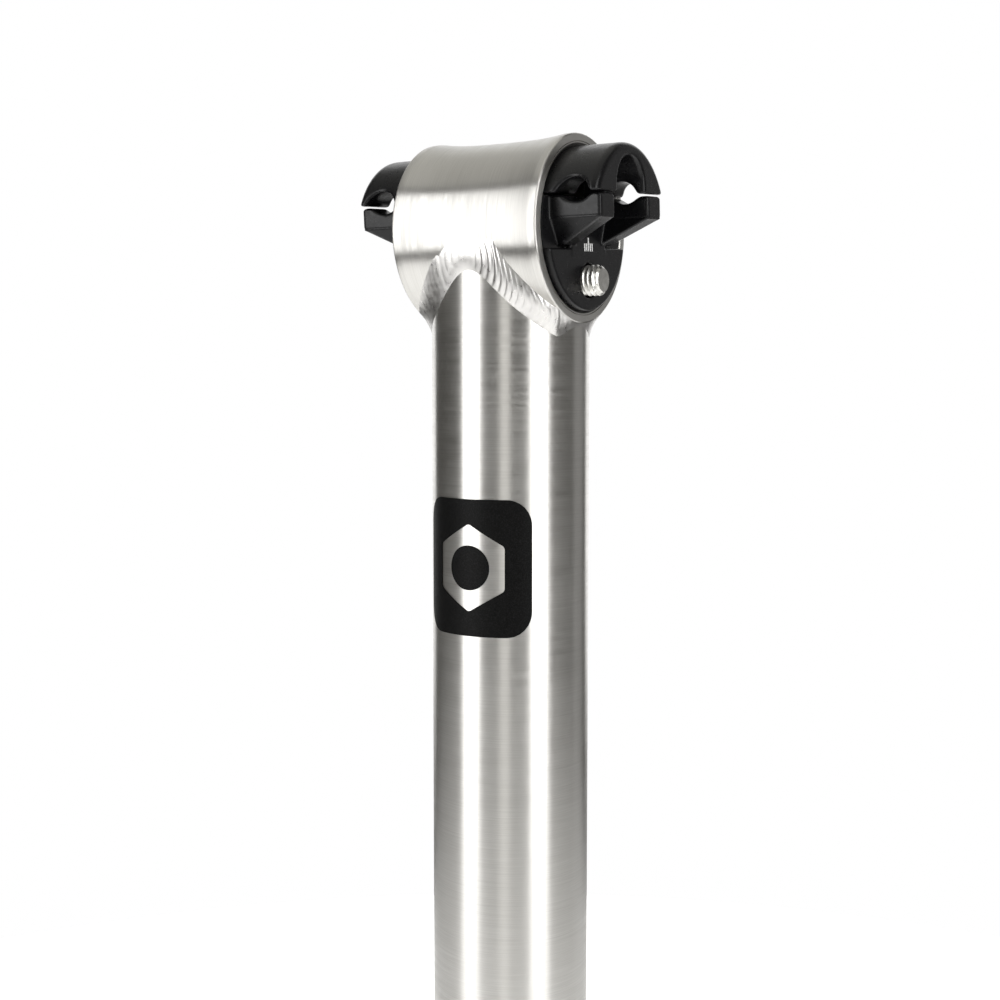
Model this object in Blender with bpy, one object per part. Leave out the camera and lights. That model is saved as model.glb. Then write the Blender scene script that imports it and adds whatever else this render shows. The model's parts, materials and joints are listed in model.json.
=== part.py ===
"""Rigid titanium bicycle seatpost with a side-clamp saddle head.

A round tube carries a transverse barrel on its top end. Two pairs of clamp halves sit in the
conical mouths of the barrel, one pair on each side, and a single cross bolt draws the sides
together. Axes: +Z up along the tube, X along the barrel and the bolt, -Y the side of the badge.
The origin is the middle of the open bottom end of the tube. All lengths are in metres.
"""

import math

import bmesh
import bpy
from mathutils import Matrix, Vector

MM = 0.001
GAP = 0.3 * MM

AXIS_Z = 350 * MM
TUBE_R = 15.8 * MM
TUBE_WALL = 1.3 * MM
TUBE_CHAMFER = 0.4 * MM

BARREL_HALF = 16.2 * MM
BARREL_WAIST_R = 17.4 * MM
BARREL_LIP_R = 18.2 * MM
MOUTH_R = 16.2 * MM
SEAT_DEPTH = 2.5 * MM
BEAD_BAND = 1.6 * MM
BEAD_RISE = 0.7 * MM

CLAMP_R = MOUTH_R - 0.35 * MM
UPPER_R = 15.65 * MM
REST_TILT = math.radians(3.7)
CONE_BACK = BARREL_HALF - 0.25 * MM - SEAT_DEPTH
DISC_FACE = 17.5 * MM
PLUG_BACK = 9.0 * MM
CLAMP_TIP = 27.0 * MM
TIP_ROUND = 1.1 * MM
PART_LINE = 5.9 * MM
SPLIT = 0.35 * MM
DISC_TOP = -3.8 * MM
ARM_OUT = 12.8 * MM
ARM_IN = 7.0 * MM
ARM_UNDER = 1.5 * MM
ARM_ROOT = 15.9 * MM
GUSSET_OUT = 10.0 * MM
GUSSET_FOOT = -3.2 * MM
WEB_HALF = 7.1 * MM
WEB_TOP = 3.6 * MM

RAIL_X = 21.7 * MM
RAIL_R = 3.5 * MM
UPPER_GROOVE = 2.6 * MM
LOWER_GROOVE = 1.3 * MM
ARCH_HALF = 5.5 * MM
ARCH_TOP = 13.1 * MM

BOLT_DROP = 10.0 * MM
BOLT_R = 3.0 * MM
BOLT_END = 20.6 * MM
HEAD_R = 5.0 * MM
RECESS_R = 5.4 * MM
HEAD_HIGH = 3.9 * MM
SOCKET_ACROSS = 5.0 * MM
SOCKET_DEEP = 2.4 * MM
WASHER_R = 5.0 * MM
WASHER_SEAT = 16.0 * MM
WASHER_THICK = 1.0 * MM

BADGE_Z = 284.4 * MM
BADGE_HIGH = 26.8 * MM
BADGE_ARC = math.radians(93)
BADGE_CORNER = 5.0 * MM
BADGE_THICK = 0.25 * MM


def clear_scene():
    for obj in list(bpy.data.objects):
        bpy.data.objects.remove(obj, do_unlink=True)


def new_collection(name):
    made = bpy.data.collections.new(name)
    bpy.context.scene.collection.children.link(made)
    return made


def material(name, colour, roughness, metallic):
    made = bpy.data.materials.new(name)
    made.use_nodes = True
    shader = made.node_tree.nodes["Principled BSDF"]
    shader.inputs["Base Color"].default_value = (*colour, 1)
    shader.inputs["Roughness"].default_value = roughness
    shader.inputs["Metallic"].default_value = metallic
    return made


def solid(name, bm, group):
    """An object from a bmesh, faces turned out."""
    bmesh.ops.remove_doubles(bm, verts=bm.verts, dist=1e-7)
    bmesh.ops.recalc_face_normals(bm, faces=bm.faces)
    mesh = bpy.data.meshes.new(name)
    bm.to_mesh(mesh)
    bm.free()
    obj = bpy.data.objects.new(name, mesh)
    group.objects.link(obj)
    return obj


def turned(name, group, profile, steps, at=(0, 0, 0), axis="X"):
    """A solid of revolution from (along, radius) points of its closed half section."""
    bm = bmesh.new()
    corners = [bm.verts.new((r, 0, along)) for along, r in profile]
    around = zip(corners, corners[1:] + corners[:1])
    loop = [bm.edges.new((a, b)) for a, b in around if a.co.x or b.co.x]
    bmesh.ops.spin(
        bm,
        geom=corners + loop,
        cent=(0, 0, 0),
        axis=(0, 0, 1),
        angle=2 * math.pi,
        steps=steps,
        use_merge=True,
    )
    bmesh.ops.remove_doubles(bm, verts=bm.verts, dist=1e-6)
    bmesh.ops.dissolve_degenerate(bm, dist=1e-7, edges=bm.edges)
    spare = [face for face in bm.faces if face.calc_area() < 1e-14]
    bmesh.ops.delete(bm, geom=spare, context="FACES")
    if axis == "X":
        bmesh.ops.rotate(bm, verts=bm.verts, matrix=Matrix.Rotation(math.pi / 2, 3, "Y"))
    if axis == "Y":
        bmesh.ops.rotate(bm, verts=bm.verts, matrix=Matrix.Rotation(-math.pi / 2, 3, "X"))
    bmesh.ops.translate(bm, verts=bm.verts, vec=Vector(at))
    return solid(name, bm, group)


def rod(name, group, radius, start, end, steps, at=(0, 0, 0), axis="X"):
    """A round bar from start to end along X or Y."""
    middle = (start + end) / 2
    lie = Matrix.Rotation(math.pi / 2, 4, "Y" if axis == "X" else "X")
    along = (middle, 0, 0) if axis == "X" else (0, middle, 0)
    bm = bmesh.new()
    bmesh.ops.create_cone(
        bm,
        cap_ends=True,
        segments=steps,
        radius1=radius,
        radius2=radius,
        depth=end - start,
        matrix=Matrix.Translation(Vector(at) + Vector(along)) @ lie,
    )
    return solid(name, bm, group)


def hull(name, group, points):
    """The convex solid round a few corner points."""
    bm = bmesh.new()
    for point in points:
        bm.verts.new(point)
    made = bmesh.ops.convex_hull(bm, input=bm.verts)
    inner = [item for item in made["geom_interior"] if isinstance(item, bmesh.types.BMVert)]
    bmesh.ops.delete(bm, geom=inner, context="VERTS")
    bmesh.ops.dissolve_limit(bm, angle_limit=0.01, verts=bm.verts, edges=bm.edges)
    return solid(name, bm, group)


def block(name, group, low, high):
    """A box between its lowest and highest corners."""
    low, high = Vector(low), Vector(high)
    bm = bmesh.new()
    bmesh.ops.create_cube(bm, size=1)
    bmesh.ops.scale(bm, vec=high - low, verts=bm.verts)
    bmesh.ops.translate(bm, vec=(low + high) / 2, verts=bm.verts)
    return solid(name, bm, group)


def boolean(target, operation, *tools):
    """Applies each tool to the target at once and hides the tool."""
    for tool in tools:
        step = target.modifiers.new(operation.lower(), "BOOLEAN")
        step.operation = operation
        step.solver = "EXACT"
        step.object = tool
        tool.hide_render = True
        tool.display_type = "WIRE"
    return target


def baked(obj):
    """The object with its modifiers made real."""
    graph = bpy.context.evaluated_depsgraph_get()
    bm = bmesh.new()
    bm.from_object(obj, graph)
    obj.modifiers.clear()
    bm.to_mesh(obj.data)
    bm.free()
    return obj


def smooth(obj, degrees=30):
    for face in obj.data.polygons:
        face.use_smooth = True
    obj.data.set_sharp_from_angle(angle=math.radians(degrees))
    return obj


def finish(obj, look, origin=(0, 0, 0)):
    """Gives the piece its material, smooth round faces and its own origin."""
    obj.data.materials.clear()
    obj.data.materials.append(look)
    smooth(obj)
    obj.data.transform(Matrix.Translation(-Vector(origin)))
    obj.location = origin
    return obj


def tilted(obj):
    """Turns a piece of the clamp about the barrel axis to the saddle angle it is stored at."""
    turn = Matrix.Rotation(REST_TILT, 4, "X")
    centre = Vector(head())
    obj.data.transform(turn)
    obj.location = centre + turn @ (obj.location - centre)
    return obj


def arc(centre, radius, start, end, count):
    """Points of a corner round in the (along, radius) plane, angles in degrees."""
    turns = [math.radians(start + (end - start) * i / count) for i in range(count + 1)]
    return [(centre[0] + radius * math.cos(a), centre[1] + radius * math.sin(a)) for a in turns]


def head(along=0.0, across=0.0, up=0.0):
    """A point given from the middle of the barrel."""
    return (along, across, AXIS_Z + up)


def flare(along):
    """Outside radius of the barrel: a waist in the middle and a lip at each end."""
    rise = min(1.0, abs(along) / (BARREL_HALF - 1.6 * MM))
    return BARREL_WAIST_R + (BARREL_LIP_R - BARREL_WAIST_R) * rise**3


def barrel_shape(name, tools, offset):
    """A solid the shape of the barrel's outside, grown by an offset and run past both ends."""
    ends = BARREL_HALF + 4 * MM
    outline = [(ends * (i / 12 - 1), 0) for i in range(25)]
    outline = [(x, flare(x) + offset) for x, _ in outline]
    return turned(name, tools, [(-ends, 0), *outline, (ends, 0)], 128, head())


def make_barrel(group, look):
    half = BARREL_HALF
    count = 16
    outside = [((2 * i / count - 1) * (half - 0.5 * MM), 0) for i in range(count + 1)]
    outside = [(x, flare(x)) for x, _ in outside]
    bore = MOUTH_R - SEAT_DEPTH
    right_end = [
        (half, BARREL_LIP_R - 0.5 * MM),
        (half, MOUTH_R + 0.15 * MM),
        (half - 0.25 * MM, MOUTH_R),
        (half - SEAT_DEPTH - 0.25 * MM, bore),
    ]
    left_end = [(-x, r) for x, r in reversed(right_end)]
    obj = turned("head_barrel", group, outside + right_end + left_end, 96, head())
    return finish(obj, look, head())


def make_tube(group, tools, look):
    r, inner, c = TUBE_R, TUBE_R - TUBE_WALL, TUBE_CHAMFER
    profile = [
        (0, inner + c),
        (0, r - c),
        (c, r),
        (AXIS_Z, r),
        (AXIS_Z, inner),
        (c, inner),
    ]
    obj = turned("post_tube", group, profile, 96, axis="Z")
    cope = barrel_shape("cut_cope", tools, BEAD_BAND + 2 * GAP)
    return finish(baked(boolean(obj, "DIFFERENCE", cope)), look)


def make_bead(group, tools, look):
    """The weld metal between the coped tube end and the barrel."""
    top, low = AXIS_Z - 2 * MM, AXIS_Z - 24 * MM
    inner = TUBE_R - TUBE_WALL
    outer = TUBE_R + BEAD_RISE
    profile = [(low, inner), (low, outer), (top, outer), (top, inner)]
    obj = turned("weld_bead", group, profile, 96, axis="Z")
    keep = barrel_shape("keep_bead", tools, BEAD_BAND + GAP)
    drop = barrel_shape("cut_bead", tools, GAP)
    boolean(obj, "INTERSECT", keep)
    boolean(obj, "DIFFERENCE", drop)
    return finish(baked(obj), look, head())


def make_badge(group, look):
    """A rounded panel wrapped on the front of the tube."""
    radius = TUBE_R + GAP
    half_w, half_h, c = radius * BADGE_ARC / 2, BADGE_HIGH / 2, BADGE_CORNER
    outline = []
    for quarter, (sx, sz) in enumerate(((1, 1), (-1, 1), (-1, -1), (1, -1))):
        outline += arc((sx * (half_w - c), sz * (half_h - c)), c, 90 * quarter, 90 * quarter + 90, 8)
    bm = bmesh.new()
    face = bm.faces.new([bm.verts.new((u, 0, v)) for u, v in outline])
    pushed = bmesh.ops.extrude_face_region(bm, geom=[face])
    front = [item for item in pushed["geom"] if isinstance(item, bmesh.types.BMVert)]
    bmesh.ops.translate(bm, verts=front, vec=(0, BADGE_THICK, 0))
    for i in range(1, 24):
        cut = -half_w + 2 * half_w * i / 24
        bmesh.ops.bisect_plane(
            bm, geom=bm.verts[:] + bm.edges[:] + bm.faces[:], plane_co=(cut, 0, 0), plane_no=(1, 0, 0)
        )
    for vert in bm.verts:
        turn, out = vert.co.x / radius, radius + vert.co.y
        vert.co = (out * math.sin(turn), -out * math.cos(turn), BADGE_Z + vert.co.z)
    return finish(solid("badge", bm, group), look, (0, 0, BADGE_Z))


def cone_profile(rim, face, edge, back):
    """Half section of a clamp piece: plug or cone back, plain rim and an eased front edge."""
    shoulder = BARREL_HALF - 0.25 * MM - (CLAMP_R - rim)
    cone_r = rim - (shoulder - CONE_BACK)
    eased = arc((face - edge, rim - edge), edge, 90, 0, 4)
    plug = [(back, 0), (back, cone_r)] if back < CONE_BACK else [(CONE_BACK, 0)]
    return [*plug, (CONE_BACK, cone_r), (shoulder, rim), *eased, (face, 0)]


def make_upper(name, group, tools):
    obj = turned(name, group, cone_profile(UPPER_R, CLAMP_TIP, TIP_ROUND, CONE_BACK), 72, head())
    floor = PART_LINE + SPLIT
    below = block(
        "cut_below_" + name, tools, head(0, -30 * MM, -30 * MM), head(40 * MM, 30 * MM, floor)
    )
    groove = rod(
        "cut_groove_" + name,
        tools,
        RAIL_R,
        -30 * MM,
        30 * MM,
        48,
        head(RAIL_X, 0, floor + UPPER_GROOVE - RAIL_R),
        "Y",
    )
    crown = ARCH_TOP - ARCH_HALF
    arch = rod("cut_arch_" + name, tools, ARCH_HALF, 5 * MM, 40 * MM, 40, head(0, 0, crown))
    slot = block(
        "cut_slot_" + name, tools, head(5 * MM, -ARCH_HALF, 0), head(40 * MM, ARCH_HALF, crown)
    )
    boolean(arch, "UNION", slot)
    return baked(boolean(obj, "DIFFERENCE", below, groove, baked(arch)))


def make_arm(name, tools, side):
    """One of the two arms that reach out under a rail, with the gusset below it."""
    near, far = sorted((side * ARM_IN, side * ARM_OUT))
    bar = block(name, tools, head(ARM_ROOT, near, ARM_UNDER), head(CLAMP_TIP, far, PART_LINE))
    inset = 0.1 * MM
    span = (ARM_ROOT + inset, CLAMP_TIP - inset)
    top = [
        head(x, side * y, ARM_UNDER + inset)
        for x in span
        for y in (ARM_IN + inset, ARM_OUT - inset)
    ]
    foot = [
        head(x, side * y, GUSSET_FOOT)
        for x in (ARM_ROOT + inset, DISC_FACE - inset)
        for y in (WEB_HALF - 2 * MM, GUSSET_OUT)
    ]
    return bar, hull(name + "_gusset", tools, top + foot)


def make_lower(name, group, tools):
    obj = turned(name, group, cone_profile(CLAMP_R, DISC_FACE, 0.5 * MM, PLUG_BACK), 72, head())
    above = block(
        "cut_above_" + name, tools, head(0, -30 * MM, DISC_TOP), head(40 * MM, 30 * MM, 30 * MM)
    )
    web = block(
        "web_" + name,
        tools,
        head(PLUG_BACK + 0.1 * MM, -WEB_HALF, DISC_TOP - 2 * MM),
        head(DISC_FACE - 0.05 * MM, WEB_HALF, WEB_TOP),
    )
    boolean(obj, "DIFFERENCE", above)
    boolean(obj, "UNION", web)
    for side in (-1, 1):
        boolean(obj, "UNION", *make_arm(f"arm_{name}_{side + 1}", tools, side))
    groove = rod(
        "cut_groove_" + name,
        tools,
        RAIL_R,
        -30 * MM,
        30 * MM,
        48,
        head(RAIL_X, 0, PART_LINE - LOWER_GROOVE + RAIL_R),
        "Y",
    )
    hole = rod(
        "cut_hole_" + name, tools, BOLT_R + GAP, 5 * MM, 40 * MM, 40, head(0, 0, -BOLT_DROP)
    )
    return baked(boolean(obj, "DIFFERENCE", groove, hole))


def mirrored(obj, name, group):
    """The same piece for the other side of the head."""
    bm = bmesh.new()
    bm.from_mesh(obj.data)
    bmesh.ops.scale(bm, vec=(-1, 1, 1), verts=bm.verts)
    bmesh.ops.reverse_faces(bm, faces=bm.faces)
    return solid(name, bm, group)


def recessed(obj, tools):
    """The left lower piece with the round recess that takes the washer."""
    recess = rod(
        "cut_recess", tools, RECESS_R, -30 * MM, -WASHER_SEAT, 48, head(0, 0, -BOLT_DROP)
    )
    return baked(boolean(obj, "DIFFERENCE", recess))


def make_washer(group, look):
    back = -WASHER_SEAT - GAP
    front = back - WASHER_THICK
    c = 0.3 * MM
    profile = [
        (back, BOLT_R + GAP),
        (back, WASHER_R),
        (front + c, WASHER_R),
        (front, WASHER_R - c),
        (front, BOLT_R + GAP),
    ]
    centre = head(0, 0, -BOLT_DROP)
    return finish(turned("bolt_washer", group, profile, 48, centre), look, centre)


def make_bolt(group, tools, look):
    seat = -WASHER_SEAT - 2 * GAP - WASHER_THICK
    top = seat - HEAD_HIGH
    profile = [
        (top, 0),
        (top, HEAD_R - 0.6 * MM),
        (top + 0.6 * MM, HEAD_R),
        (seat, HEAD_R),
        (seat, BOLT_R),
        (BOLT_END - 0.8 * MM, BOLT_R),
        (BOLT_END, BOLT_R - 0.8 * MM),
        (BOLT_END, 0),
    ]
    centre = head(0, 0, -BOLT_DROP)
    obj = turned("clamp_bolt", group, profile, 48, centre)
    socket = rod(
        "cut_socket",
        tools,
        SOCKET_ACROSS / math.sqrt(3),
        top - 5 * MM,
        top + SOCKET_DEEP,
        6,
        centre,
    )
    return finish(baked(boolean(obj, "DIFFERENCE", socket)), look, centre)


def build():
    clear_scene()
    post = new_collection("seatpost")
    tools = new_collection("cutters")
    titanium = material("brushed_titanium", (0.62, 0.60, 0.57), 0.32, 1.0)
    weld = material("weld_titanium", (0.66, 0.65, 0.63), 0.25, 1.0)
    anodised = material("black_anodised", (0.03, 0.03, 0.032), 0.45, 0.7)
    steel = material("bolt_steel", (0.72, 0.71, 0.68), 0.25, 1.0)
    print_black = material("badge_black", (0.02, 0.02, 0.02), 0.5, 0.0)
    make_tube(post, tools, titanium)
    make_barrel(post, titanium)
    make_bead(post, tools, weld)
    make_badge(post, print_black)
    for make, part in ((make_upper, "upper_clamp"), (make_lower, "lower_clamp")):
        right = make(part + "_right", post, tools)
        left = mirrored(right, part + "_left", post)
        if make is make_lower:
            left = recessed(left, tools)
        for obj in (right, left):
            tilted(finish(obj, anodised, head()))
    tilted(make_washer(post, steel))
    tilted(make_bolt(post, tools, steel))
    tools.hide_render = True


build()
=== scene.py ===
"""The seatpost as it looks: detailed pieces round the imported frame, finishes, light and camera.

Objects are in metres in the frame of the CAD model: +Z up along the tube, +X along the barrel.
Shapes are worked out in millimetres from the middle of the barrel, or from the foot of the tube,
and scaled once, when a mesh is made.
"""

import json
import math

import bmesh
import bpy
import numpy as np
from mathutils import Matrix, Vector


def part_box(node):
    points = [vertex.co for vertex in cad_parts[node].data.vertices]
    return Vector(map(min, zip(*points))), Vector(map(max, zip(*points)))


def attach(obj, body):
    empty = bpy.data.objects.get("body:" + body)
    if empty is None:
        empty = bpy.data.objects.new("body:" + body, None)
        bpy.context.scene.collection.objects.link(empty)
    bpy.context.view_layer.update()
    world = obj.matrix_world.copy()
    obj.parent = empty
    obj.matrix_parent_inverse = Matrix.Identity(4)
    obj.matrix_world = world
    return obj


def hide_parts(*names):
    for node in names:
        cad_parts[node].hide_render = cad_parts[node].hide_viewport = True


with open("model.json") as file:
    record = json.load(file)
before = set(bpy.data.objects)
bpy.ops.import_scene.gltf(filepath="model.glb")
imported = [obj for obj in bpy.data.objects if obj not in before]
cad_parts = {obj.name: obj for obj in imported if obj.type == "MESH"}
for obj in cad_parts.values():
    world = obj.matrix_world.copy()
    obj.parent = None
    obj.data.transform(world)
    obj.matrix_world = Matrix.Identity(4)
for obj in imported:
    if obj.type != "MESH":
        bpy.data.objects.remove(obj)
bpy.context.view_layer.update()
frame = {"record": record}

MM = 0.001

# Barrel and tube.
WAIST_DROP = 0.8
LIP_RUN = 1.6
LIP_EDGE = 0.45
MOUTH_R = 16.2
MOUTH_EASE = 0.12
SEAT_DEPTH = 2.5
END_GROOVE_R = 16.62
END_GROOVE_WIDE = 0.2
END_GROOVE_DEEP = 0.35
TUBE_WALL = 1.3
TUBE_CHAMFER = 0.4

# Weld: how far its two toes lie from the seam, its crown or hollow and its ripples.
TOE_ON_BARREL = 2.6
TOE_ON_TUBE = 1.1
TOE_DEEPER = 3.0
END_MARGIN, WAIST_MARGIN = 0.15, 0.16
BEAD_CROWN = 0.4
BEAD_HOLLOW = 0.35
RIPPLE_PITCH = 1.35
RIPPLE_HIGH = 0.16
RIPPLE_BOW = 0.8
RIPPLED_TURN = math.radians(306)

# Clamps.
LOWER_R = 15.85
UPPER_R = 15.65
CONE_BACK = 13.45
SHOULDER_BACK = 0.25
PLUG_BACK = 9.0
DISC_FACE = 17.5
CLAMP_TIP = 27.0
PART_LINE = 5.9
SPLIT = 0.35
DISC_TOP = -3.8
ARM_IN, ARM_OUT = 7.0, 12.8
ARM_UNDER = 1.5
ARM_ROOT = 15.9
GUSSET_IN, GUSSET_OUT = 5.1, 10.0
GUSSET_FOOT = -3.2
WEB_HALF = 7.1
WEB_TOP = 3.6
SLOT_HALF = 6.8
RAIL_X = 21.7
RAIL_R = 3.5
UPPER_GROOVE = 2.6
LOWER_GROOVE = 1.3
ARCH_HALF = 5.5
ARCH_TOP = 13.1
MARK_STEP = 0.75
MARK_WIDE = 0.34
MARK_PROUD = 0.12
MARK_LONG, MARK_SHORT = 2.6, 1.5
MARKS_ASIDE, MARKS_UP = -0.2, -3.1
CELL = 0.22

# Badge: a panel and, cut out of it, a six-sided plate with a round island.
BADGE_THICK = 0.06
BADGE_CLEAR = 0.02
BADGE_CORNER = 5.0
EMBLEM_R = 8.6
EMBLEM_CORNER = 1.0
ISLAND_R = 4.4

# Bolt and washer.
BOLT_DROP = 10.0
BOLT_R = 3.0
HOLE_R = 3.3
RECESS_R = 5.4
WASHER_SEAT = 16.0
WASHER_THICK = 1.0
WASHER_R = 5.0
GAP = 0.3
HEAD_R = 5.0
HEAD_HIGH = 3.9
SOCKET_ACROSS = 5.0
SOCKET_DEEP = 2.4
BOLT_END = 20.6
SOCKET_CONE = 0.4
BOLT_CHAMFER = 0.8
SHANK_R = 2.6
THREAD_START = 6.0
THREAD_PITCH = 1.0
THREAD_DEEP = 0.55


def millimetres(corner):
    return np.array(corner) / MM


BARREL_LOW, BARREL_HIGH = (millimetres(corner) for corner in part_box("head_barrel"))
BADGE_LOW, BADGE_TOP = (millimetres(corner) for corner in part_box("badge"))
AXIS_Z = (BARREL_LOW[2] + BARREL_HIGH[2]) / 2
HALF = BARREL_HIGH[0]
LIP_R = BARREL_HIGH[1]
SHOULDER = HALF - SHOULDER_BACK
TUBE_R = millimetres(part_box("post_tube")[1])[0]
JOINTS = {joint["name"]: joint for joint in frame["record"]["behaviour"]["joints"]}
LEVER = Vector(JOINTS["bolt_turn"]["pos_m"]) - Vector(JOINTS["saddle_tilt"]["pos_m"])
TILT = math.atan2(LEVER.y, -LEVER.z)
HEAD = Matrix.Translation((0, 0, AXIS_Z * MM))
CLAMP = HEAD @ Matrix.Rotation(TILT, 4, "X")
BOLT_LINE = CLAMP @ Matrix.Translation((0, 0, -BOLT_DROP * MM))


# ---------------------------------------------------------------- meshes


def piece(name, skin, look, place=None, sharp=32):
    """An object from points in millimetres and faces, turned out and shaded smooth."""
    points, faces = skin
    mesh = bpy.data.meshes.new(name)
    mesh.from_pydata((np.asarray(points) * MM).tolist(), [], np.asarray(faces).tolist())
    bm = bmesh.new()
    bm.from_mesh(mesh)
    bmesh.ops.remove_doubles(bm, verts=bm.verts, dist=1e-6)
    bmesh.ops.dissolve_degenerate(bm, dist=1e-7, edges=bm.edges)
    bmesh.ops.recalc_face_normals(bm, faces=bm.faces)
    return from_bmesh(name, bm, look, place, sharp, mesh)


def from_bmesh(name, bm, look, place=None, sharp=32, mesh=None):
    mesh = mesh or bpy.data.meshes.new(name)
    bm.to_mesh(mesh)
    bm.free()
    mesh.materials.append(look)
    mesh.shade_smooth()
    mesh.set_sharp_from_angle(angle=math.radians(sharp))
    obj = bpy.data.objects.new(name, mesh)
    obj.matrix_world = place or Matrix.Identity(4)
    bpy.context.scene.collection.objects.link(obj)
    return obj


def revolved(section, steps, axis="Z", closed=True):
    """The skin round an axis. section(turn) gives the (radius, along) points at that angle."""
    turns = np.arange(steps) * 2 * math.pi / steps
    rings = np.array([section(turn) for turn in turns])
    radius, along = rings[:, :, 0], rings[:, :, 1]
    across, over = radius * np.cos(turns)[:, None], radius * np.sin(turns)[:, None]
    order = (across, over, along) if axis == "Z" else (along, across, over)
    count = rings.shape[1]
    i, j = np.meshgrid(np.arange(steps), np.arange(count if closed else count - 1), indexing="ij")
    corners = ((i, j), (i + 1, j), (i + 1, j + 1), (i, j + 1))
    faces = np.stack([(a % steps) * count + b % count for a, b in corners], -1)
    return np.stack(order, -1).reshape(-1, 3), faces.reshape(-1, 4)


def arc(centre, radius, start, end, count=6):
    """Points of a corner round in the (radius, along) plane, angles in degrees."""
    turns = np.radians(np.linspace(start, end, count + 1))
    return [(centre[0] + radius * math.cos(a), centre[1] + radius * math.sin(a)) for a in turns]


# ---------------------------------------------------------------- smooth solids as distance fields


def common(a, b, ease):
    """Where both fields are inside, with the edge between them eased."""
    near = np.maximum(ease - np.abs(a - b), 0) / ease
    return np.maximum(a, b) + near * near * ease / 4


def joined(a, b, ease):
    return -common(-a, -b, ease)


def cut(a, b, ease):
    return common(a, -b, ease)


def slab(value, low, high):
    return np.abs(value - (low + high) / 2) - (high - low) / 2


def brick(x, y, z, low, high, ease):
    sides = [slab(v, a, b) for v, a, b in zip((x, y, z), low, high)]
    return common(common(sides[0], sides[1], ease), sides[2], ease)


def surface(field, low, high):
    """The zero surface of a field as quads, one point in each cell that the surface crosses."""
    axes = [np.arange(a - 2 * CELL, b + 3 * CELL, CELL) for a, b in zip(low, high)]
    inside = field(*np.meshgrid(*axes, indexing="ij")) < 0
    size = [n - 1 for n in inside.shape]
    filled = sum(
        inside[i : i + size[0], j : j + size[1], k : k + size[2]].astype(int)
        for i in (0, 1)
        for j in (0, 1)
        for k in (0, 1)
    )
    mixed = (filled > 0) & (filled < 8)
    number = np.full(mixed.shape, -1)
    number[mixed] = np.arange(mixed.sum())
    points = (np.argwhere(mixed) + 0.5) * CELL + [axis[0] for axis in axes]
    quads = []
    for a in range(3):
        order = (a, (a + 1) % 3, (a + 2) % 3)
        solid, cell = inside.transpose(order), number.transpose(order)
        near, far = solid[:-1, 1:-1, 1:-1], solid[1:, 1:-1, 1:-1]
        ring = (cell[:, :-1, :-1], cell[:, 1:, :-1], cell[:, 1:, 1:], cell[:, :-1, 1:])
        quads.append(np.stack(ring, -1)[near & ~far])
        quads.append(np.stack(ring[::-1], -1)[far & ~near])
    return settled(points, field), np.concatenate(quads)


def settled(points, field, rounds=6, reach=0.02):
    """The points moved along the field's slope onto its zero surface."""
    for _ in range(rounds):
        steps = np.eye(3) * reach
        slope = np.stack(
            [(field(*(points + s).T) - field(*(points - s).T)) / (2 * reach) for s in steps], -1
        )
        steep = np.maximum((slope * slope).sum(-1), 0.05)
        points = points - slope * (field(*points.T) / steep)[:, None]
    return points


def mirrored(skin):
    """The same skin for the other side of the head."""
    points, faces = skin
    return points * [-1, 1, 1], faces[:, ::-1]


# ---------------------------------------------------------------- clamp pieces


def seat_body(x, y, z, rim, face, back, edge):
    """The turned body: a 45 degree seat, a plain rim and an eased front edge."""
    radius = np.hypot(y, z)
    shoulder = SHOULDER - (LOWER_R - rim)
    seat = (radius - rim - (x - shoulder)) / math.sqrt(2)
    body = common(common(radius - rim, seat, 0.3), x - face, edge)
    return common(body, back - x, 0.4)


def rail_bed(x, z, height):
    return np.hypot(x - RAIL_X, z - height) - RAIL_R


def upper_field(x, y, z):
    floor = PART_LINE + SPLIT
    body = seat_body(x, y, z, UPPER_R, CLAMP_TIP, CONE_BACK, 1.7)
    crown = ARCH_TOP - ARCH_HALF
    arch = np.hypot(y, np.maximum(z - crown, 0)) - ARCH_HALF
    body = cut(body, arch, 1.0)
    body = common(body, floor - z, 0.55)
    return cut(body, rail_bed(x, z, floor + UPPER_GROOVE - RAIL_R), 0.9)


def gusset(x, y, z):
    """The tapered block under an arm, from the arm's underside down to the disc."""
    high, foot = ARM_UNDER + 0.1, GUSSET_FOOT
    drop = high - foot
    front = ((CLAMP_TIP - x) * drop - (CLAMP_TIP - DISC_FACE) * (high - z)) / math.hypot(
        drop, CLAMP_TIP - DISC_FACE
    )
    lean_out = (ARM_OUT - GUSSET_OUT) / drop
    lean_in = (ARM_IN - GUSSET_IN) / drop
    outer = (y - ARM_OUT + lean_out * (high - z)) / math.hypot(1, lean_out)
    inner = (ARM_IN - lean_in * (high - z) - y) / math.hypot(1, lean_in)
    block = common(common(outer, inner, 0.6), -front, 0.6)
    return common(block, slab(z, foot, high), 0.1)


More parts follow.
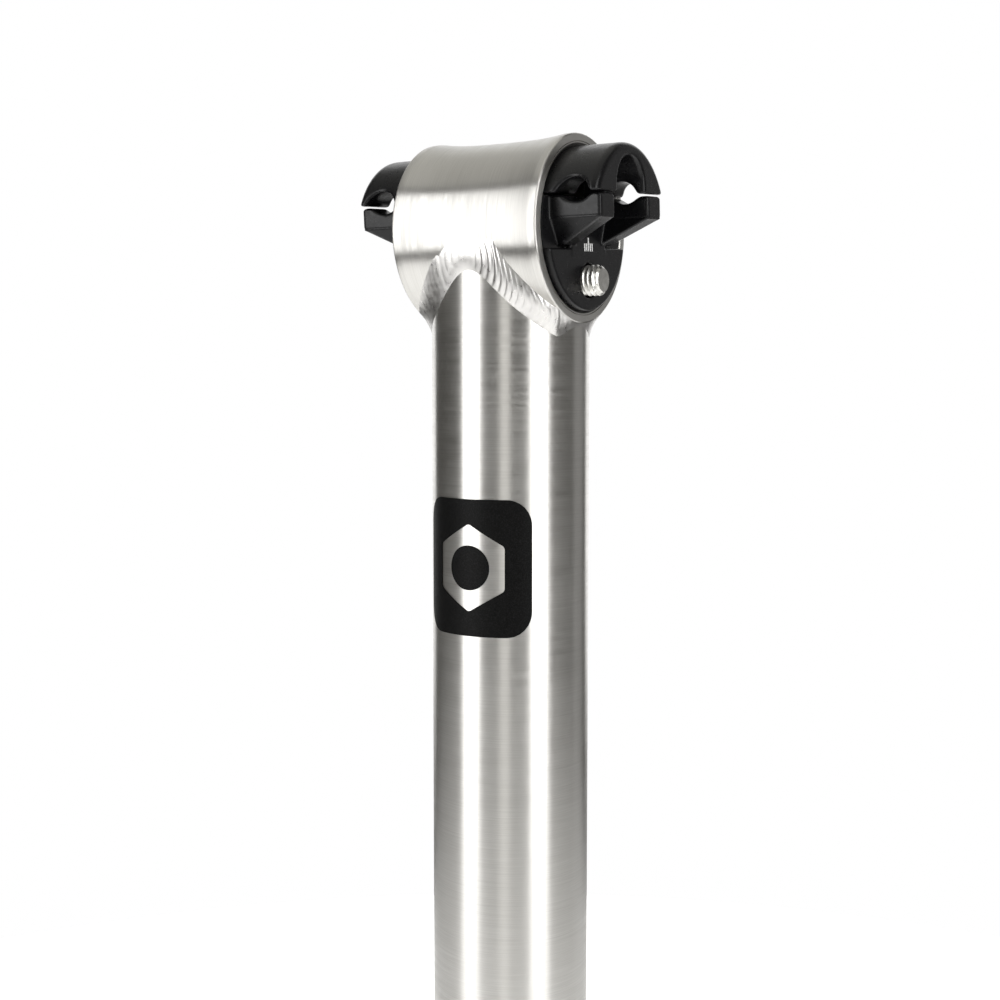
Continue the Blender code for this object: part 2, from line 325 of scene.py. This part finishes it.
def lower_field(x, y, z, recess=False):
    disc = seat_body(x, y, z, LOWER_R, DISC_FACE, CONE_BACK, 0.7)
    radius = np.hypot(y, z)
    plug_r = LOWER_R - (SHOULDER - CONE_BACK)
    plug = common(radius - plug_r, slab(x, PLUG_BACK, CONE_BACK + 1), 0.5)
    disc = common(np.minimum(disc, plug), z - DISC_TOP, 0.5)
    ring = common(seat_body(x, y, z, LOWER_R, HALF, CONE_BACK, 0.2), z - PART_LINE, 0.2)
    slot = np.maximum(np.abs(y) - SLOT_HALF, WEB_TOP - 0.1 - z)
    disc = np.minimum(disc, cut(ring, slot, 0.2))
    web = brick(
        x, y, z, (PLUG_BACK, -WEB_HALF, DISC_TOP - 2), (DISC_FACE, WEB_HALF, WEB_TOP), 0.7
    )
    side = np.abs(y)
    arm = brick(
        x, side, z, (ARM_ROOT, ARM_IN, ARM_UNDER), (CLAMP_TIP, ARM_OUT, PART_LINE), 0.75
    )
    arm = joined(arm, common(gusset(x, side, z), ARM_ROOT - x, 0.3), 0.25)
    body = joined(joined(disc, web, 0.25), arm, 0.5)
    body = cut(body, rail_bed(x, z, PART_LINE - LOWER_GROOVE + RAIL_R), 1.0)
    bolt_radius = np.hypot(y, z + BOLT_DROP)
    body = cut(body, bolt_radius - HOLE_R, 0.5)
    if recess:
        body = cut(body, common(bolt_radius - RECESS_R, WASHER_SEAT - x, 0.2), 0.3)
    return body


def left_lower_field(x, y, z):
    return lower_field(x, y, z, recess=True)


def make_clamps(look):
    """The four clamp halves, the left ones as mirror images of the right ones."""
    floor = PART_LINE + SPLIT
    upper = surface(upper_field, (CONE_BACK, -UPPER_R, floor), (CLAMP_TIP, UPPER_R, UPPER_R))
    box = (PLUG_BACK, -LOWER_R, -LOWER_R), (CLAMP_TIP, LOWER_R, PART_LINE)
    skins = {
        "upper_clamp_right": upper,
        "upper_clamp_left": mirrored(upper),
        "lower_clamp_right": surface(lower_field, *box),
        "lower_clamp_left": mirrored(surface(left_lower_field, *box)),
    }
    bodies = {
        "upper_clamp_right": "right_upper",
        "upper_clamp_left": "left_upper",
        "lower_clamp_right": "right_lower",
        "lower_clamp_left": "left_lower",
    }
    for node, skin in skins.items():
        half = piece(node + "_half", skin, look, CLAMP, sharp=60)
        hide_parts(node)
        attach(half, bodies[node])


def make_marks(look):
    """Five short white ticks on the right lower half, the middle one longest."""
    bm = bmesh.new()
    middle = Vector((DISC_FACE + 0.02, MARKS_ASIDE, MARKS_UP))
    for i in range(-2, 3):
        high = MARK_LONG if i == 0 else MARK_SHORT
        place = Matrix.Translation(middle + Vector((0, i * MARK_STEP, (high - MARK_LONG) / 2)))
        shape = Matrix.Diagonal((MARK_PROUD, MARK_WIDE, high, 1))
        bmesh.ops.create_cube(bm, size=1, matrix=place @ shape)
    bmesh.ops.scale(bm, vec=(MM, MM, MM), verts=bm.verts)
    marks = from_bmesh("angle_marks", bm, look, CLAMP)
    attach(marks, "right_lower")


# ---------------------------------------------------------------- bolt and washer


def thread_radius(x, turn):
    """Radius of the thread at a place along the bolt, in from its crest by a rounded V."""
    phase = (x / THREAD_PITCH - turn / (2 * math.pi)) % 1
    deep = np.clip(1.25 * (1 - np.abs(2 * phase - 1)) - 0.12, 0, 1)
    return BOLT_R - THREAD_DEEP * deep


def bolt_section(turn):
    seat = -WASHER_SEAT - 2 * GAP - WASHER_THICK
    top = seat - HEAD_HIGH
    key = SOCKET_ACROSS / 2 / math.cos(turn % (math.pi / 3) - math.pi / 6)
    head = [(0, top + SOCKET_DEEP + SOCKET_CONE), (key - 0.05, top + SOCKET_DEEP), (key, top + 0.3)]
    head += [(key + 0.3, top), *arc((HEAD_R - 0.8, top + 0.8), 0.8, -90, 0)]
    head += [(HEAD_R, seat - 0.2), (HEAD_R - 0.2, seat), (SHANK_R, seat), (SHANK_R, THREAD_START)]
    x = np.arange(THREAD_START + 0.3, BOLT_END, 0.05)
    radius = np.minimum(thread_radius(x, turn), BOLT_END - x + BOLT_R - BOLT_CHAMFER)
    tip = [(radius[-1], BOLT_END), (0, BOLT_END)]
    return head + list(zip(radius, x)) + tip


def washer_section(_):
    back = -WASHER_SEAT - GAP
    front = back - WASHER_THICK
    hole = BOLT_R + GAP
    rim = arc((WASHER_R - 0.25, front + 0.25), 0.25, 0, -90, 4)
    return [(hole, back), (WASHER_R - 0.1, back), (WASHER_R, back - 0.1), *rim, (hole, front)]


def make_bolt(look):
    bolt = piece("socket_bolt", revolved(bolt_section, 96, "X", closed=False), look, BOLT_LINE)
    washer = piece("round_washer", revolved(washer_section, 96, "X"), look, BOLT_LINE)
    for made, node, body in ((bolt, "clamp_bolt", "bolt"), (washer, "bolt_washer", "left_lower")):
        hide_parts(node)
        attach(made, body)


# ---------------------------------------------------------------- tube, barrel and weld


def flare(along):
    """Outside radius of the barrel: a waist in the middle and a lip at each end."""
    rise = np.minimum(1.0, np.abs(along) / (HALF - LIP_RUN))
    return LIP_R - WAIST_DROP + WAIST_DROP * rise**3


def barrel_section(_):
    outside = [(flare(x), x) for x in np.linspace(LIP_EDGE - HALF, HALF - LIP_EDGE, 65)]
    outer, inner = END_GROOVE_R + END_GROOVE_WIDE / 2, END_GROOVE_R - END_GROOVE_WIDE / 2
    end = arc((LIP_R - LIP_EDGE, HALF - LIP_EDGE), LIP_EDGE, 10, 90, 7)
    end += [(outer, HALF), (outer - 0.04, HALF - END_GROOVE_DEEP)]
    end += [(inner + 0.04, HALF - END_GROOVE_DEEP), (inner, HALF)]
    end += [(MOUTH_R + MOUTH_EASE, HALF), (MOUTH_R, HALF - MOUTH_EASE)]
    end += [(MOUTH_R - SEAT_DEPTH, HALF - MOUTH_EASE - SEAT_DEPTH)]
    return outside + end + [(r, -x) for r, x in reversed(end)]


def seam_height(radius, turn):
    """Height of the barrel's underside over a point at that radius and angle round the tube."""
    x, y = radius * math.cos(turn), radius * math.sin(turn)
    return AXIS_Z - math.sqrt(flare(x) ** 2 - y**2)


def tube_section(turn):
    inner, c = TUBE_R - TUBE_WALL, TUBE_CHAMFER
    top = seam_height(TUBE_R, turn) - 0.1
    outside = [(TUBE_R, c + (top - c) * t) for t in np.linspace(0, 1, 25)]
    foot = [(inner, c), (inner + c, 0), (TUBE_R - c, 0)]
    return foot + outside + [(inner, seam_height(inner, turn) - 0.1)]


def barrel_toe(turn):
    """Radius at which the weld ends on the barrel, held inside its end faces and its waist."""
    ends = (HALF - END_MARGIN) / max(abs(math.cos(turn)), 1e-6)
    waist = (LIP_R - WAIST_DROP - WAIST_MARGIN) / max(abs(math.sin(turn)), 1e-6)
    return min(TUBE_R + TOE_ON_BARREL, ends, waist)


def seam_length(steps=3600):
    """Angles round the tube and the length of the seam up to each."""
    turns = np.linspace(0, 2 * math.pi, steps + 1)
    seam = [(TUBE_R * math.cos(a), TUBE_R * math.sin(a), seam_height(TUBE_R, a)) for a in turns]
    return turns, np.concatenate([[0], np.cumsum(np.linalg.norm(np.diff(seam, axis=0), axis=1))])


SEAM = seam_length()
RIPPLES = round(SEAM[1][-1] / RIPPLE_PITCH)


def boldness(turn):
    """How rippled the bead is: fully on two opposite flanks of the tube, hardly elsewhere."""
    t = min(max((math.cos(2 * (turn - RIPPLED_TURN)) - 0.4) / 0.5, 0), 1)
    return t * t * (3 - 2 * t)


def ripple(turn, t):
    """Height of the overlapping beads at a place along the seam and across it."""
    passed = RIPPLES * np.interp(turn, *SEAM) / SEAM[1][-1]
    passed += 0.2 * math.sin(5 * turn) + 0.14 * math.sin(13 * turn + 1)
    side = 1 if math.cos(turn) > 0 else -1
    phase = (passed + side * RIPPLE_BOW * (2 * t - 1) ** 2) % 1
    return RIPPLE_HIGH * (0.1 + 0.9 * boldness(turn)) * np.sin(math.pi * phase**0.65)


def bead_section(turn):
    steep = abs(math.sin(turn))
    seam = seam_height(TUBE_R, turn)
    wide = barrel_toe(turn)
    toe_up = np.array([wide, seam_height(wide, turn)])
    toe_down = np.array([TUBE_R, seam - TOE_ON_TUBE - TOE_DEEPER * (1 - steep**16)])
    t = np.linspace(0, 1, 25)
    chord = toe_up - toe_down
    outward = np.array([chord[1], -chord[0]]) / np.hypot(*chord)
    smooth = (1 - boldness(turn)) * (1 - steep**8)
    crown = BEAD_CROWN * (1 - smooth) - BEAD_HOLLOW * smooth
    bulge = crown * 4 * t * (1 - t) + ripple(turn, t) * np.sqrt(4 * t * (1 - t)) - 0.05
    line = toe_down + t[:, None] * chord + bulge[:, None] * outward
    root = (TUBE_R - 0.6, seam + 0.15)
    return [*line.tolist(), root]


def make_frame(metal_tube, metal_barrel, metal_weld):
    made = {
        "post_tube": piece("tube", revolved(tube_section, 288), metal_tube),
        "head_barrel": piece("barrel", revolved(barrel_section, 288, "X"), metal_barrel, HEAD),
        "weld_bead": piece("weld", revolved(bead_section, RIPPLES * 14), metal_weld, sharp=70),
    }
    for node, obj in made.items():
        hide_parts(node)
        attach(obj, "post")


# ---------------------------------------------------------------- badge


def loop(spline_points, curve):
    spline = curve.splines.new("POLY")
    spline.points.add(len(spline_points) - 1)
    for point, (u, v) in zip(spline.points, spline_points):
        point.co = (u, v, 0, 1)
    spline.use_cyclic_u = True


def rounded(corners, radius):
    """A polygon with round corners, as points in the (across, up) plane."""
    points = []
    for i, corner in enumerate(corners):
        here = Vector(corner)
        before = (Vector(corners[i - 1]) - here).normalized()
        after = (Vector(corners[(i + 1) % len(corners)]) - here).normalized()
        half = before.angle(after) / 2
        centre = here + (before + after).normalized() * radius / math.sin(half)
        start, end = here + before * radius / math.tan(half), here + after * radius / math.tan(half)
        for k in range(9):
            bend = start.lerp(end, k / 8) - centre
            points.append(tuple(centre + bend.normalized() * radius))
    return points


def make_badge(look):
    """A black panel on the front of the tube with a bare six-sided ring in it."""
    radius, thick = TUBE_R + BADGE_CLEAR, BADGE_THICK
    high = (BADGE_TOP[2] - BADGE_LOW[2]) / 2
    half = radius * math.asin(min(1, BADGE_TOP[0] / (TUBE_R + 2 * GAP)))
    middle = (BADGE_TOP[2] + BADGE_LOW[2]) / 2
    curve = bpy.data.curves.new("badge_outline", "CURVE")
    curve.dimensions = "2D"
    curve.fill_mode = "BOTH"
    curve.extrude = thick / 2
    loop(rounded([(-half, -high), (half, -high), (half, high), (-half, high)], BADGE_CORNER), curve)
    six = [math.radians(60 * i + 30) for i in range(6)]
    plate = [(EMBLEM_R * math.cos(a), EMBLEM_R * math.sin(a)) for a in six]
    loop(rounded(plate, EMBLEM_CORNER), curve)
    circle = np.arange(64) * math.pi / 32
    loop([(ISLAND_R * math.cos(a), ISLAND_R * math.sin(a)) for a in circle], curve)
    flat = bpy.data.objects.new("badge_outline", curve)
    bpy.context.scene.collection.objects.link(flat)
    bpy.context.view_layer.update()
    graph = bpy.context.evaluated_depsgraph_get()
    mesh = bpy.data.meshes.new_from_object(flat.evaluated_get(graph))
    bpy.data.objects.remove(flat)
    bm = bmesh.new()
    bm.from_mesh(mesh)
    bmesh.ops.remove_doubles(bm, verts=bm.verts, dist=1e-4)
    for u in np.linspace(-half, half, 49)[1:-1]:
        everything = bm.verts[:] + bm.edges[:] + bm.faces[:]
        bmesh.ops.bisect_plane(bm, geom=everything, plane_co=(u, 0, 0), plane_no=(1, 0, 0))
    for vert in bm.verts:
        turn, out = vert.co.x / radius, radius + thick / 2 + vert.co.z
        place = (out * math.sin(turn), -out * math.cos(turn), middle + vert.co.y)
        vert.co = Vector(place) * MM
    bmesh.ops.recalc_face_normals(bm, faces=bm.faces)
    panel = from_bmesh("badge_panel", bm, look)
    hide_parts("badge")
    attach(panel, "post")


# ---------------------------------------------------------------- materials


def material(name, colour, settings):
    """A Principled material, its plain settings on the shader's own sockets."""
    made = bpy.data.materials.new(name)
    made.use_nodes = True
    shader = made.node_tree.nodes["Principled BSDF"]
    shader.inputs["Base Color"].default_value = (*colour, 1)
    for key, value in settings.items():
        shader.inputs[key].default_value = value
    return made, made.node_tree, shader


def noise(tree, scale, detail=3.0, rough=0.55, stretch=(1, 1, 1)):
    """Noise over the object's own coordinates, in features per metre, stretched by an axis."""
    place = tree.nodes.new("ShaderNodeTexCoord")
    mapping = tree.nodes.new("ShaderNodeMapping")
    mapping.inputs["Scale"].default_value = stretch
    texture = tree.nodes.new("ShaderNodeTexNoise")
    texture.inputs["Scale"].default_value = scale
    texture.inputs["Detail"].default_value = detail
    texture.inputs["Roughness"].default_value = rough
    tree.links.new(place.outputs["Object"], mapping.inputs["Vector"])
    tree.links.new(mapping.outputs["Vector"], texture.inputs["Vector"])
    return texture.outputs["Fac"]


def ranged(tree, value, low, high, start=0.3, end=0.7):
    """The value's middle stretch, brought to run from low to high."""
    node = tree.nodes.new("ShaderNodeMapRange")
    for key, number in (("From Min", start), ("From Max", end), ("To Min", low), ("To Max", high)):
        node.inputs[key].default_value = number
    tree.links.new(value, node.inputs["Value"])
    return node.outputs["Result"]


def toned(tree, value, dark, light, start=0.3, end=0.7):
    ramp = tree.nodes.new("ShaderNodeValToRGB")
    for element, place, colour in zip(ramp.color_ramp.elements, (start, end), (dark, light)):
        element.position = place
        element.color = (*colour, 1)
    tree.links.new(value, ramp.inputs["Fac"])
    return ramp.outputs["Color"]


def bumped(tree, height, depth, strength, base=None):
    node = tree.nodes.new("ShaderNodeBump")
    node.inputs["Distance"].default_value = depth
    node.inputs["Strength"].default_value = strength
    tree.links.new(height, node.inputs["Height"])
    if base:
        tree.links.new(base, node.inputs["Normal"])
    return node.outputs["Normal"]


def brushed(name, axis):
    """Titanium with fine scratches that run round an axis."""
    plain = {"Metallic": 1.0, "Anisotropic": 0.88, "Anisotropic Rotation": 0.25}
    made, tree, shader = material(name, (0.6, 0.59, 0.56), plain)
    fine = (1, 1, 120) if axis == "Z" else (120, 1, 1)
    coarse = (1, 1, 28) if axis == "Z" else (28, 1, 1)
    scratches = noise(tree, 90, 4, 0.65, fine)
    strokes = noise(tree, 60, 3, 0.6, coarse)
    clouds = noise(tree, 55, 2)
    tones = toned(tree, scratches, (0.52, 0.51, 0.485), (0.66, 0.65, 0.625), 0.25, 0.75)
    tree.links.new(tones, shader.inputs["Base Color"])
    add = tree.nodes.new("ShaderNodeMath")
    add.operation = "ADD"
    tree.links.new(ranged(tree, strokes, 0.29, 0.38), add.inputs[0])
    tree.links.new(ranged(tree, clouds, -0.02, 0.03), add.inputs[1])
    tree.links.new(add.outputs["Value"], shader.inputs["Roughness"])
    tree.links.new(bumped(tree, scratches, 0.00001, 0.35), shader.inputs["Normal"])
    tangent = tree.nodes.new("ShaderNodeTangent")
    tangent.direction_type = "RADIAL"
    tangent.axis = axis
    tree.links.new(tangent.outputs["Tangent"], shader.inputs["Tangent"])
    return made


def weld_metal():
    made, tree, shader = material("weld_titanium_fine", (0.64, 0.63, 0.61), {"Metallic": 1.0})
    heat = noise(tree, 260, 3)
    tones = toned(tree, heat, (0.56, 0.55, 0.54), (0.66, 0.65, 0.63))
    tree.links.new(tones, shader.inputs["Base Color"])
    tree.links.new(ranged(tree, noise(tree, 900, 3), 0.26, 0.38), shader.inputs["Roughness"])
    tree.links.new(bumped(tree, noise(tree, 1500, 2), 0.00001, 0.2), shader.inputs["Normal"])
    return made


def anodised():
    """Bead-blasted aluminium, black anodised, with a painted highlight: a little paler on its edges."""
    plain = {"Specular IOR Level": 0.27}
    made, tree, shader = material("black_anodised_fine", (0.005, 0.005, 0.0055), plain)
    # Painted highlight: where the surface is pointy, on convex edges, the base colour is paler,
    # standing in for light caught by the edge rounds.
    edges = tree.nodes.new("ShaderNodeNewGeometry").outputs["Pointiness"]
    tree.links.new(
        toned(tree, edges, (0.004, 0.004, 0.0045), (0.022, 0.022, 0.024), 0.53, 0.62),
        shader.inputs["Base Color"],
    )
    tree.links.new(ranged(tree, noise(tree, 1200, 3), 0.26, 0.34), shader.inputs["Roughness"])
    grain = noise(tree, 5200, 2, 0.6)
    tree.links.new(bumped(tree, grain, 0.00002, 0.3), shader.inputs["Normal"])
    return made


def bolt_metal():
    made, tree, shader = material("bolt_steel_fine", (0.74, 0.73, 0.7), {"Metallic": 1.0})
    grime = noise(tree, 700, 4)
    tones = toned(tree, grime, (0.55, 0.54, 0.51), (0.78, 0.77, 0.74))
    tree.links.new(tones, shader.inputs["Base Color"])
    tree.links.new(ranged(tree, noise(tree, 900, 2), 0.26, 0.34), shader.inputs["Roughness"])
    tree.links.new(bumped(tree, noise(tree, 1500, 2), 0.00001, 0.1), shader.inputs["Normal"])
    return made


def badge_paint():
    plain = {"Specular IOR Level": 0.08}
    made, tree, shader = material("badge_black_fine", (0.004, 0.004, 0.004), plain)
    speckle = noise(tree, 4200, 3, 0.7)
    tones = toned(tree, speckle, (0.002, 0.002, 0.002), (0.012, 0.012, 0.012), 0.45, 0.75)
    tree.links.new(tones, shader.inputs["Base Color"])
    tree.links.new(ranged(tree, speckle, 0.36, 0.55), shader.inputs["Roughness"])
    tree.links.new(bumped(tree, speckle, 0.00003, 0.5), shader.inputs["Normal"])
    return made


def mark_paint():
    made, tree, shader = material("mark_white", (0.85, 0.85, 0.84), {"Metallic": 0.0})
    worn = noise(tree, 3000, 3)
    tones = toned(tree, worn, (0.7, 0.7, 0.69), (0.9, 0.9, 0.89))
    tree.links.new(tones, shader.inputs["Base Color"])
    tree.links.new(ranged(tree, worn, 0.4, 0.6), shader.inputs["Roughness"])
    return made


# ---------------------------------------------------------------- studio and camera

VIEW_TURN = math.radians(31.5)
VIEW_DISTANCE = 300
VIEW_ASIDE = 2.15
VIEW_BELOW_AXIS = 28
VIEW_DOWN = math.radians(4.86)
LENS, SENSOR = 53.5, 36
TOWARDS_CAMERA = Vector((math.sin(VIEW_TURN), -math.cos(VIEW_TURN), 0))
TO_THE_RIGHT = Vector((math.cos(VIEW_TURN), math.sin(VIEW_TURN), 0))
FLOOR_R = 0.6
FLOOR_BELOW = 0.0005
DIM_ROOM = (0.09, 0.087, 0.082, 1)
WHITE = (1, 1, 1, 1)


def panel(name, turn, distance, wide, low, high, glow, colour=(1, 1, 1)):
    """A tall soft light at an angle round from the camera, to the right where that is positive."""
    a = math.radians(turn)
    place = (TOWARDS_CAMERA * math.cos(a) + TO_THE_RIGHT * math.sin(a)) * distance
    place.z = (low + high) / 2
    aim = Vector((0, 0, place.z)) - place
    return area_light(name, place, aim, wide, high - low, glow, colour)


def area_light(name, place, aim, wide, high, glow, colour):
    """A rectangular light of a given brightness, whatever its size."""
    light = bpy.data.lights.new(name, "AREA")
    light.shape = "RECTANGLE"
    light.size, light.size_y = wide, high
    light.energy = glow * math.pi * wide * high
    light.color = colour
    obj = bpy.data.objects.new(name, light)
    obj.location = place
    obj.rotation_euler = aim.to_track_quat("-Z", "Y").to_euler()
    obj.visible_camera = False
    bpy.context.scene.collection.objects.link(obj)
    return obj


def make_lights():
    """Two softboxes that draw the bright bands, with weaker light in front, aside, behind and above."""
    panel("left_softbox", turn=-60, distance=0.9, wide=0.44, low=0.04, high=1.2, glow=4.2)
    panel("right_softbox", turn=42, distance=0.9, wide=0.44, low=0.04, high=1.2, glow=4.2)
    panel("front_fill", -9, 1.2, wide=0.3, low=0.04, high=1.2, glow=1.3, colour=(1, 0.99, 0.96))
    panel("side_wall", turn=117, distance=1.1, wide=0.5, low=0.02, high=1.2, glow=0.25)
    panel("back_wall", turn=180, distance=1.1, wide=1.7, low=0.02, high=1.4, glow=1.2)
    above, down = Vector((0, 0, 1.5)), Vector((0, 0, -1))
    area_light("overhead", above, down, wide=1.6, high=1.6, glow=0.65, colour=(1, 0.99, 0.93))


def make_world():
    """Pale all round for the camera, dim for the light that reaches the metal from the sides."""
    world = bpy.data.worlds.new("studio")
    bpy.context.scene.world = world
    world.use_nodes = True
    tree = world.node_tree
    tree.nodes.clear()
    seen, dim = (tree.nodes.new("ShaderNodeBackground") for _ in range(2))
    seen.inputs["Color"].default_value = WHITE
    dim.inputs["Color"].default_value = DIM_ROOM
    path = tree.nodes.new("ShaderNodeLightPath")
    mix = tree.nodes.new("ShaderNodeMixShader")
    out = tree.nodes.new("ShaderNodeOutputWorld")
    tree.links.new(path.outputs["Is Camera Ray"], mix.inputs["Fac"])
    tree.links.new(dim.outputs["Background"], mix.inputs[1])
    tree.links.new(seen.outputs["Background"], mix.inputs[2])
    tree.links.new(mix.outputs["Shader"], out.inputs["Surface"])


def make_floor():
    plain = {"Roughness": 0.8, "Emission Strength": 0.75, "Emission Color": WHITE}
    made, _, _ = material("floor_pale", (0.9, 0.9, 0.9), plain)
    bm = bmesh.new()
    bmesh.ops.create_circle(bm, cap_ends=True, segments=96, radius=FLOOR_R)
    floor = from_bmesh("floor", bm, made)
    floor.location.z = -FLOOR_BELOW


def make_camera():
    camera = bpy.data.cameras.new("camera")
    camera.lens, camera.sensor_width = LENS, SENSOR
    camera.clip_start = 0.01
    obj = bpy.data.objects.new("camera", camera)
    place = TOWARDS_CAMERA * VIEW_DISTANCE - TO_THE_RIGHT * VIEW_ASIDE
    obj.location = (place + Vector((0, 0, AXIS_Z - VIEW_BELOW_AXIS))) * MM
    obj.rotation_euler = (math.pi / 2 - VIEW_DOWN, 0, VIEW_TURN)
    bpy.context.scene.collection.objects.link(obj)
    bpy.context.scene.camera = obj


def make_object():
    tube_metal = brushed("brushed_titanium_tube", "Z")
    make_frame(tube_metal, brushed("brushed_titanium_barrel", "X"), weld_metal())
    make_clamps(anodised())
    make_marks(mark_paint())
    make_bolt(bolt_metal())
    make_badge(badge_paint())


make_object()
make_floor()
make_world()
make_lights()
make_camera()
bpy.context.scene.view_settings.view_transform = "Standard"
